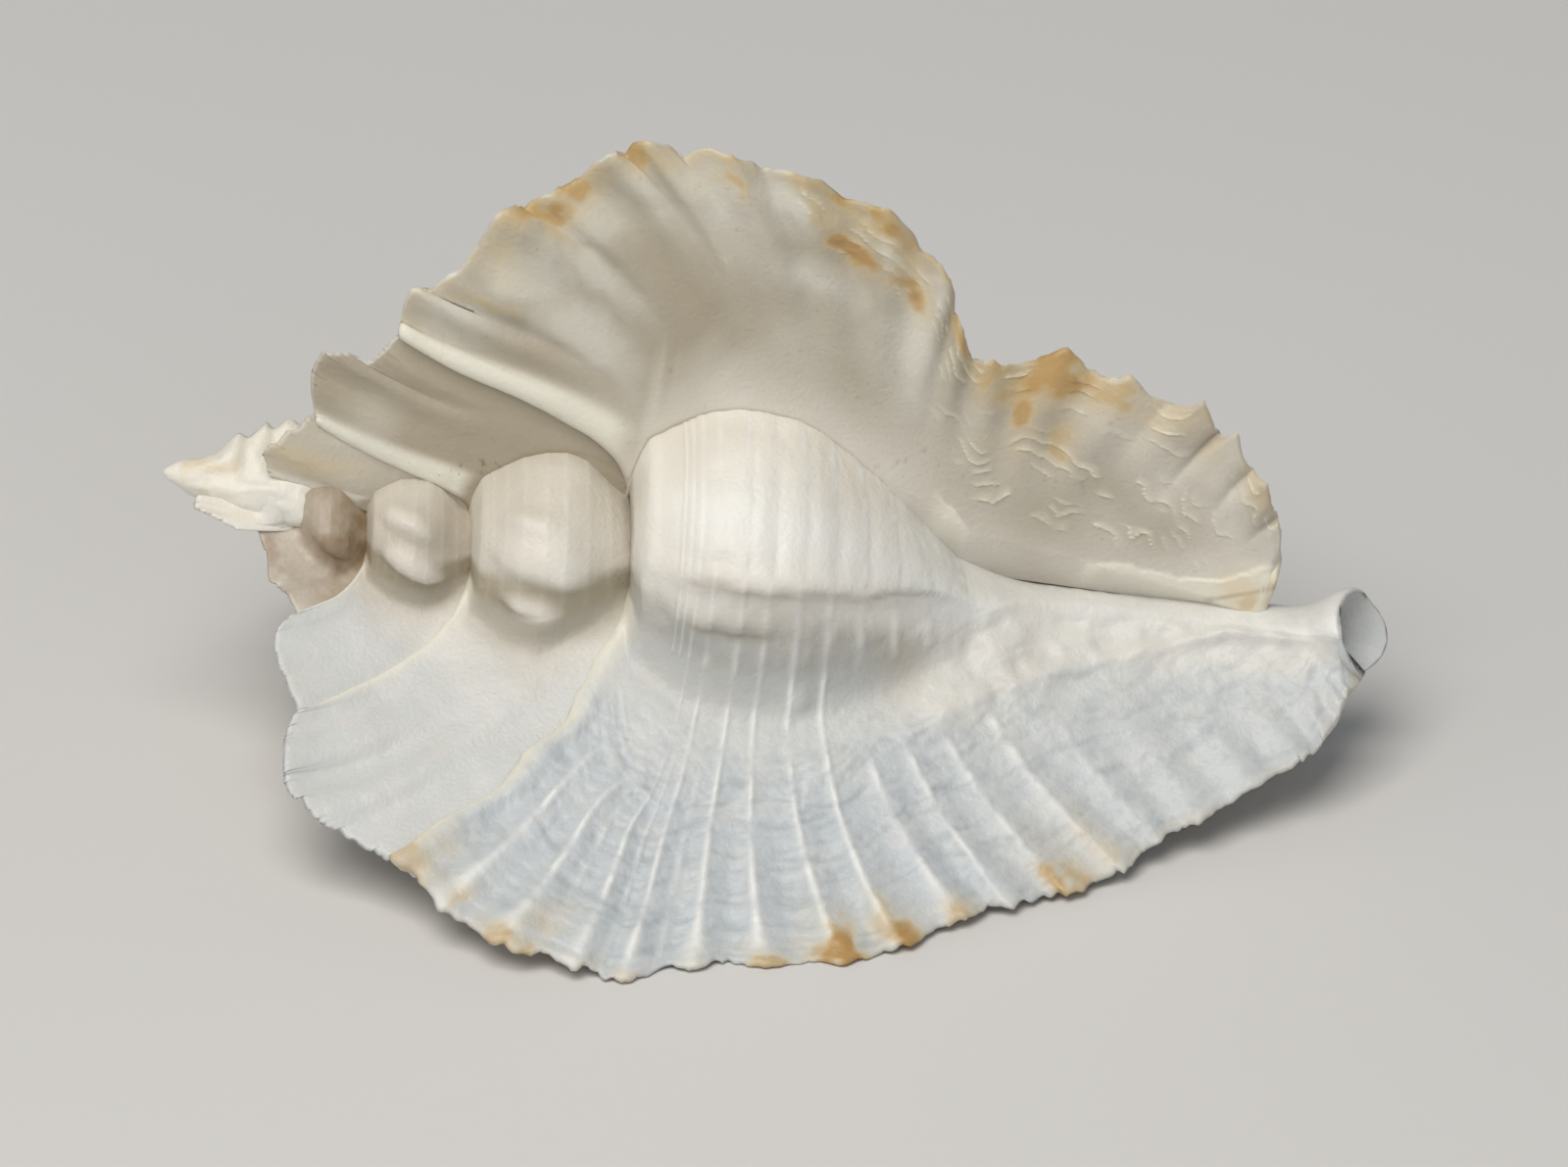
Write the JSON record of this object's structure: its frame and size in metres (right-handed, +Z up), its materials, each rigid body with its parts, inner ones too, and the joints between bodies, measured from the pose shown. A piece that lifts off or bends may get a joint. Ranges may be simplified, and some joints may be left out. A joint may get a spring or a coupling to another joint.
{
  "type": "winged murex seashell",
  "caption": "High-spired murex shell with thin flaring wings along each whorl, a ribbed body whorl, an open aperture on its underside and a long, slightly upturned canal.",
  "frame": {"origin": "centre of the bounding box's bottom face, on the surface that the shell rests on", "axes": "+X along the coiling axis from the apex towards the end of the siphonal canal, +Z up, with one wing standing up and two resting"},
  "size_m": [0.0748, 0.0498, 0.0408],
  "materials": {
    "shell": "cream-white natural shell, finely ribbed and slightly rough, satin"
  },
  "bodies": {
    "root": {"shell": "shell"}
  },
  "joints": []
}
